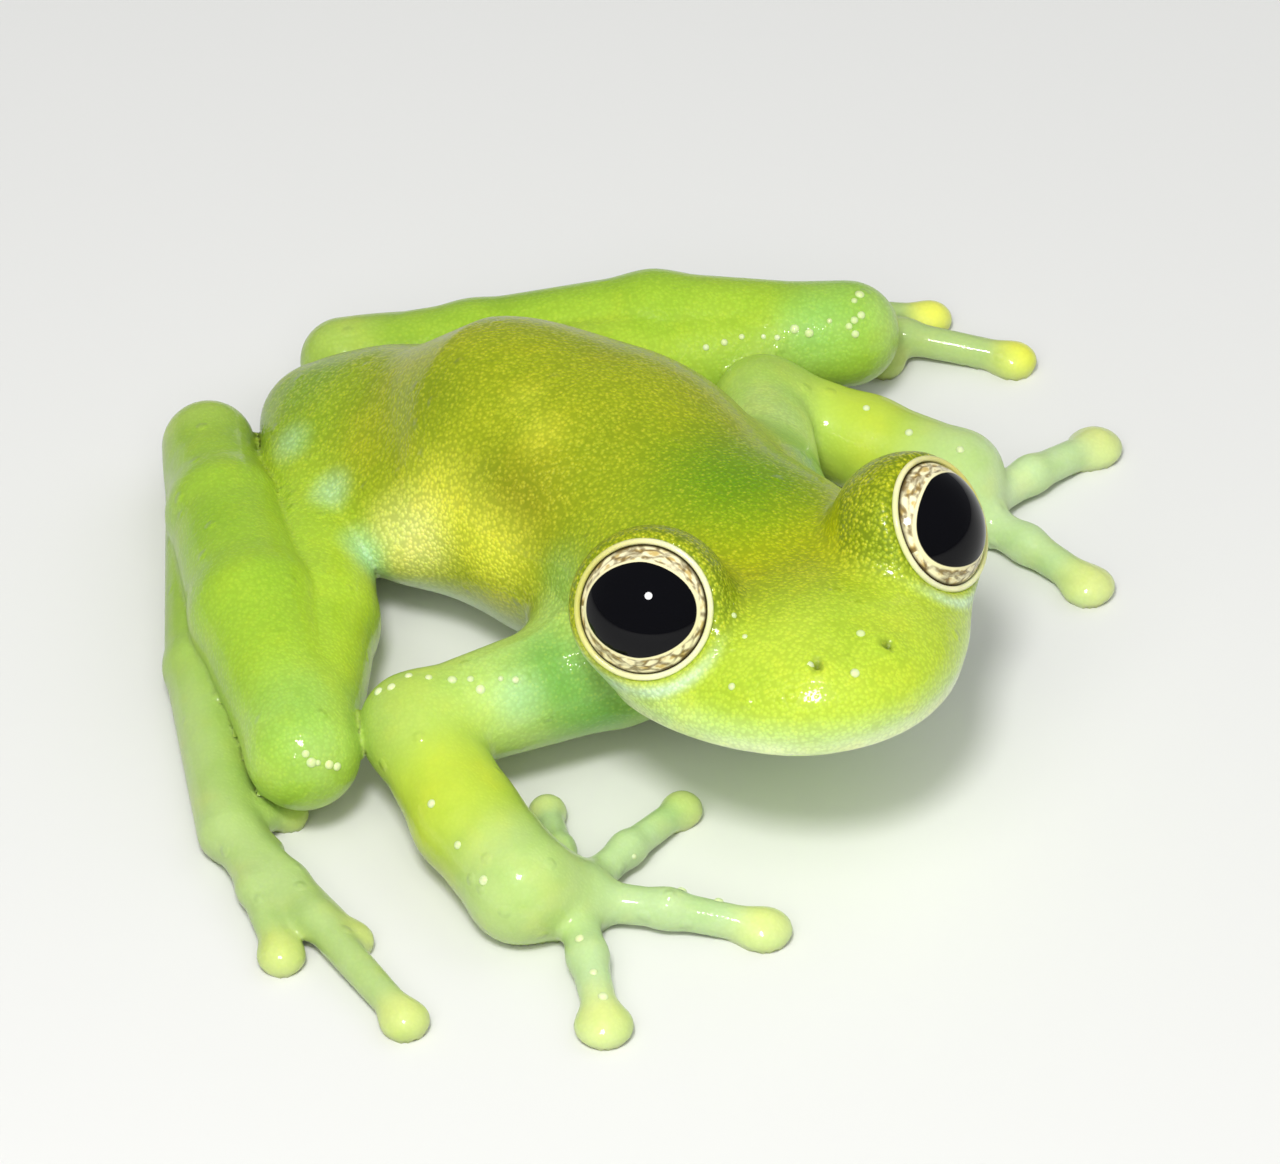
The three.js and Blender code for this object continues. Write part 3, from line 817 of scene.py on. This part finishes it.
def skin_material():
    """Moist granular skin: each granule a paler dome in a darker net, with scattered warts."""
    material, shader = new_material("frog_skin")
    g = Graph(material)
    vector = g.object_space(1 / MM)
    paint = g.attribute("paint").outputs["Color"]
    grain = g.attribute("grain").outputs["Fac"]
    granules = g.cells(vector, 10.5)
    dome = g.ramp(granules, 0.1, 0.6, 1.0, 0.0)
    net = g.ramp(granules, 0.3, 0.75)
    patches = g.noise(vector, 0.5, 4)
    mottled = g.mix(g.ramp(patches, 0.42, 0.7, 0.0, 0.5), paint, (0.72, 0.82, 0.5), "MULTIPLY")
    clouds = g.noise(vector, 1.1, 2)
    warmed = g.mix(g.ramp(clouds, 0.45, 0.75, 0.0, 0.35), mottled, (1.22, 1.05, 0.8), "MULTIPLY")
    netted = g.math("MULTIPLY", net, g.math("MULTIPLY", grain, 0.4))
    darker = g.mix(netted, warmed, (0.13, 0.19, 0.003))
    speck = g.math("MULTIPLY", dome, g.ramp(g.noise(vector, 11.0, 2), 0.45, 0.6))
    specked = g.math("MULTIPLY", speck, g.math("MULTIPLY", grain, 0.3))
    lighter = g.mix(specked, darker, (0.80, 0.76, 0.05))
    g.join(lighter, shader.inputs["Base Color"])
    shader.inputs["Roughness"].default_value = 0.45
    shader.inputs["Specular IOR Level"].default_value = 0.2
    shader.inputs["Subsurface Weight"].default_value = 0.3
    shader.inputs["Subsurface Radius"].default_value = (0.9, 1.2, 0.3)
    shader.inputs["Subsurface Scale"].default_value = 0.5 * MM
    shader.inputs["Coat Weight"].default_value = 0.5
    shader.inputs["Coat Roughness"].default_value = 0.08
    warts = g.ramp(g.cells(vector, 1.1), 0.06, 0.2, 1.0, 0.0)
    relief = g.math("MULTIPLY", dome, g.math("ADD", g.math("MULTIPLY", grain, 0.55), 0.06))
    soft = g.math("MULTIPLY", g.noise(vector, 1.6, 2), 1.6)
    height = g.math("ADD", relief, g.math("ADD", soft, g.math("MULTIPLY", warts, 1.2)))
    wet = g.math("ADD", g.math("MULTIPLY", relief, 0.35), g.math("MULTIPLY", warts, 1.6))
    g.join(g.bump(height), shader.inputs["Normal"])
    g.join(g.bump(wet), shader.inputs["Coat Normal"])
    return material


def eye_material():
    """A black pupil, wider than high, in a narrow cream iris under a dark net, and a dark rim."""
    material, shader = new_material("frog_eye")
    g = Graph(material)
    on_eye = g.add("SeparateXYZ")
    g.join(g.attribute("iris_place").outputs["Vector"], on_eye.inputs[0])
    across, over = on_eye.outputs[0], on_eye.outputs[1]
    across2, over2 = g.math("MULTIPLY", across, across), g.math("MULTIPLY", over, over)
    radius = g.math("SQRT", g.math("ADD", across2, over2))
    wide = g.math("POWER", g.math("DIVIDE", g.math("ABSOLUTE", across), PUPIL_HALF_WIDTH), 1.75)
    high = g.math("POWER", g.math("DIVIDE", g.math("ABSOLUTE", over), PUPIL_HALF_HEIGHT), 2.1)
    pupil = g.math("ADD", wide, high)
    polar = g.add("CombineXYZ")
    g.join(g.math("MULTIPLY", g.math("ARCTAN2", over, across), 3.6), polar.inputs[0])
    g.join(g.math("MULTIPLY", radius, 7.5), polar.inputs[1])
    net = g.cells(polar.outputs[0], 1.0, "DISTANCE_TO_EDGE")
    line = g.ramp(net, 0.04, 0.2, 1.0, 0.0)
    flecks = g.noise(polar.outputs[0], 1.3, 3)
    cream = g.mix(g.ramp(flecks, 0.46, 0.66), (0.92, 0.85, 0.54), (0.62, 0.46, 0.16))
    drawn = g.math("MULTIPLY", line, g.ramp(flecks, 0.3, 0.55, 0.2, 0.72))
    iris = g.mix(drawn, cream, (0.09, 0.05, 0.015))
    ringed = g.mix(g.ramp(pupil, 1.08, 1.15, 1.0, 0.0), iris, (0.84, 0.78, 0.46))
    rimmed = g.mix(g.ramp(radius, 1.35, 1.41), ringed, (0.03, 0.02, 0.006))
    edged = g.mix(g.ramp(pupil, 1.0, 1.03, 1.0, 0.0), rimmed, (0.002, 0.002, 0.003))
    g.join(edged, shader.inputs["Base Color"])
    shader.inputs["Roughness"].default_value = 0.35
    shader.inputs["Specular IOR Level"].default_value = 0.0
    shader.inputs["Coat Weight"].default_value = 1.0
    shader.inputs["Coat IOR"].default_value = 1.28
    shader.inputs["Coat Roughness"].default_value = 0.015
    return material


# Pieces

def mesh_object(name, points, faces, material):
    mesh = bpy.data.meshes.new(name)
    mesh.from_pydata(points.tolist(), [], [tuple(face) for face in faces])
    mesh.validate()
    mesh.polygons.foreach_set("use_smooth", [True] * len(mesh.polygons))
    mesh.materials.append(material)
    piece = bpy.data.objects.new(name, mesh)
    bpy.context.scene.collection.objects.link(piece)
    return piece


def put_attribute(piece, name, kind, values):
    layer = piece.data.attributes.new(name, kind, "POINT")
    field = {"FLOAT": "value", "FLOAT_VECTOR": "vector", "FLOAT_COLOR": "color"}[kind]
    layer.data.foreach_set(field, np.asarray(values, np.float32).ravel())


def fan(tip, first, around):
    """Triangles from one vertex to a ring of them."""
    return [(tip, first + step, first + (step + 1) % around) for step in range(around)]


def ring_squares(first, rings, around):
    """Squares between rings of vertices that follow each other."""
    squares = []
    for ring in range(rings - 1):
        for step in range(around):
            a = first + ring * around + step
            b = first + ring * around + (step + 1) % around
            squares.append((a, a + around, b + around, b))
    return squares


def make_skin(material):
    field, low = sampled(CELL)
    points, squares = surface_nets(field, low, CELL)
    points = drawn_to_surface(relaxed(points, squares))
    normals = slope(points)
    colour, grain = skin_colours(points, normals)
    points[:, 2] = np.where(points[:, 2] < FLOOR_SNAP, 0, points[:, 2])
    skin = mesh_object("skin", to_world(points), squares, material)
    put_attribute(skin, "paint", "FLOAT_COLOR", np.c_[colour, np.ones(len(colour))])
    put_attribute(skin, "grain", "FLOAT", grain)
    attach(skin, "root")
    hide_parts(*[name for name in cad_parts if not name.startswith("eye")])


def make_warts(material):
    """Low round wet warts in rows on the limbs and a few on the snout."""
    random = np.random.default_rng(7)
    middles = np.concatenate([
        np.linspace(place(*start), place(*end), count) for start, end, count in WART_ROWS
    ])
    middles = drawn_to_surface(middles + random.normal(0, 0.1, middles.shape), 12)
    normals = slope(middles)
    rings, around = 5, 12
    points, faces = [], []
    for middle, normal in zip(middles, normals):
        first = len(points)
        level = np.cross(normal, (0.3, 0.5, 0.8))
        level /= np.linalg.norm(level)
        beside = np.cross(normal, level)
        radius = random.uniform(0.06, 0.12)
        points.append(middle + normal * radius * 0.55)
        for ring in range(1, rings + 1):
            tilt = math.pi / 2 * ring / rings
            for step in range(around):
                turn = 2 * math.pi * step / around
                way = level * math.cos(turn) + beside * math.sin(turn)
                rise = normal * (math.cos(tilt) * 0.6 - 0.05)
                points.append(middle + (way * math.sin(tilt) + rise) * radius)
        faces += fan(first, first + 1, around) + ring_squares(first + 1, rings, around)
    warts = mesh_object("warts", to_world(np.array(points)), faces, material)
    # The warts' pale paint is partly a painted highlight
    put_attribute(warts, "paint", "FLOAT_COLOR", np.tile((*PAINT["wart"], 1), (len(points), 1)))
    put_attribute(warts, "grain", "FLOAT", np.zeros(len(points)))
    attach(warts, "root")


def eye_frame(side):
    """Three directions from an eye's centre: out through the pupil, up over it and across it."""
    axis = eye_axis(side)
    over = HEAD_TURNING[:, 2] - axis * (HEAD_TURNING[:, 2] @ axis)
    over /= np.linalg.norm(over)
    return axis, over, np.cross(over, axis)


def make_eye(side, name, material):
    """An eyeball as rings of vertices round its own axis."""
    axis, over, across = eye_frame(side)
    rings, around = 72, 120
    points = [axis * EYE_RADIUS]
    for ring in range(1, rings):
        tilt = math.pi * ring / rings
        for step in range(around):
            turn = 2 * math.pi * step / around
            level = across * math.cos(turn) + over * math.sin(turn)
            points.append((axis * math.cos(tilt) + level * math.sin(tilt)) * EYE_RADIUS)
    points.append(-axis * EYE_RADIUS)
    last = len(points) - 1
    back = [face[::-1] for face in fan(last, last - around, around)]
    faces = fan(0, 1, around) + back + ring_squares(1, rings - 1, around)
    points = np.array(points)
    eye = mesh_object(name, to_world(points + eye_centre(side)), faces, material)
    on_eye = np.c_[points @ across, points @ over, points @ axis]
    put_attribute(eye, "iris_place", "FLOAT_VECTOR", on_eye)
    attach(eye, "root")
    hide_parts("eye_left" if side == LEFT else "eye_right")


def make_lid(side, name, material):
    """The bare rim of the lids, a thin ring round an eye, pale in front and golden behind."""
    axis, over, across = eye_frame(side)
    centre = eye_centre(side) + axis * (LID_OPENING - 0.01)
    around, across_tube = 144, 14
    points, paint = [], []
    for step in range(around):
        turn = 2 * math.pi * step / around
        level = across * math.cos(turn) + over * math.sin(turn)
        front = float(smooth(-0.9, 0.3, level @ -HEAD_TURNING[:, 1] + 0.35 * level[2]))
        colour = np.array(PAINT["lid_rear"]) * (1 - front) + np.array(PAINT["lid_front"]) * front
        for part in range(across_tube):
            tilt = 2 * math.pi * part / across_tube
            out = LID_RADIUS + LID_THICKNESS * (1.1 + math.cos(tilt))
            points.append(centre + level * out + axis * LID_THICKNESS * math.sin(tilt))
            paint.append((*colour, 1))
    steps, parts = np.meshgrid(np.arange(around), np.arange(across_tube), indexing="ij")
    here = (steps * across_tube + parts).ravel()
    along = ((steps + 1) % around * across_tube + parts).ravel()
    both = ((steps + 1) % around * across_tube + (parts + 1) % across_tube).ravel()
    beside = (steps * across_tube + (parts + 1) % across_tube).ravel()
    lid = mesh_object(name, to_world(np.array(points)), np.c_[here, along, both, beside], material)
    put_attribute(lid, "paint", "FLOAT_COLOR", np.array(paint))
    put_attribute(lid, "grain", "FLOAT", np.zeros(len(points)))
    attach(lid, "root")


# Stage, light and camera

CAMERA_TURN = 51.5  # degrees to the frog's right of straight ahead
CAMERA_RISE = 39.0
CAMERA_DISTANCE = 200.0
PHOTO_WIDTH = 1280
PIXELS_PER_MM = 43.0  # in the photograph, at the aim point
SENSOR_WIDTH = 36.0
AIM = place(1.0, 10.6, 0.0)
FLOOR_HALF = 2000.0


def direction(turn, rise):
    turn, rise = math.radians(turn), math.radians(rise)
    return Vector((-math.sin(turn) * math.cos(rise), -math.cos(turn) * math.cos(rise), math.sin(rise)))


def make_camera():
    camera = bpy.data.objects.new("camera", bpy.data.cameras.new("camera"))
    bpy.context.scene.collection.objects.link(camera)
    away = direction(CAMERA_TURN, CAMERA_RISE)
    camera.location = Vector(to_world(AIM)) + away * CAMERA_DISTANCE * MM
    camera.rotation_mode = "QUATERNION"
    camera.rotation_quaternion = (-away).to_track_quat("-Z", "Y")
    camera.data.sensor_width = SENSOR_WIDTH
    camera.data.lens = SENSOR_WIDTH * PIXELS_PER_MM * CAMERA_DISTANCE / PHOTO_WIDTH
    camera.data.clip_start = 0.01
    camera.data.clip_end = 5.0
    bpy.context.scene.camera = camera


def make_light(name, turn, rise, distance, size, watts, colour=(1, 1, 1)):
    """A round lamp aimed at the frog. Only the flash shows as a glint in what is wet."""
    data = bpy.data.lights.new(name, "AREA")
    data.shape = "DISK"
    data.size = size * MM
    data.energy = watts
    data.color = colour
    light = bpy.data.objects.new(name, data)
    away = direction(turn, rise)
    light.location = Vector(to_world(AIM)) + away * distance * MM
    light.rotation_mode = "QUATERNION"
    light.rotation_quaternion = (-away).to_track_quat("-Z", "Y")
    light.visible_glossy = name == "flash"
    bpy.context.scene.collection.objects.link(light)


def make_stage():
    material, shader = new_material("floor")
    shader.inputs["Base Color"].default_value = (0.72, 0.72, 0.70, 1)
    shader.inputs["Roughness"].default_value = 0.8
    corners = FLOOR_HALF * MM * np.array([(-1, -1, 0), (1, -1, 0), (1, 1, 0), (-1, 1, 0)])
    floor = mesh_object("floor", corners, [(0, 1, 2, 3)], material)
    world = bpy.data.worlds.new("world")
    world.use_nodes = True
    world.node_tree.nodes["Background"].inputs["Color"].default_value = (0.9, 0.93, 1.0, 1)
    world.node_tree.nodes["Background"].inputs["Strength"].default_value = 0.22
    bpy.context.scene.world = world
    bpy.context.scene.view_settings.view_transform = "Standard"
    make_light("flash", 60, 56, 190, 36, 0.22)
    make_light("soft_key", 62, 50, 260, 260, 0.42, (1.0, 0.98, 0.94))
    make_light("soft_fill", -60, 50, 300, 320, 0.2, (0.95, 0.97, 1.0))


make_camera()
make_stage()
skin_look, eye_look = skin_material(), eye_material()
make_skin(skin_look)
make_warts(skin_look)
for side, word in ((LEFT, "left"), (RIGHT, "right")):
    make_eye(side, "eyeball_" + word, eye_look)
    make_lid(side, "lid_" + word, skin_look)
bpy.context.view_layer.update()
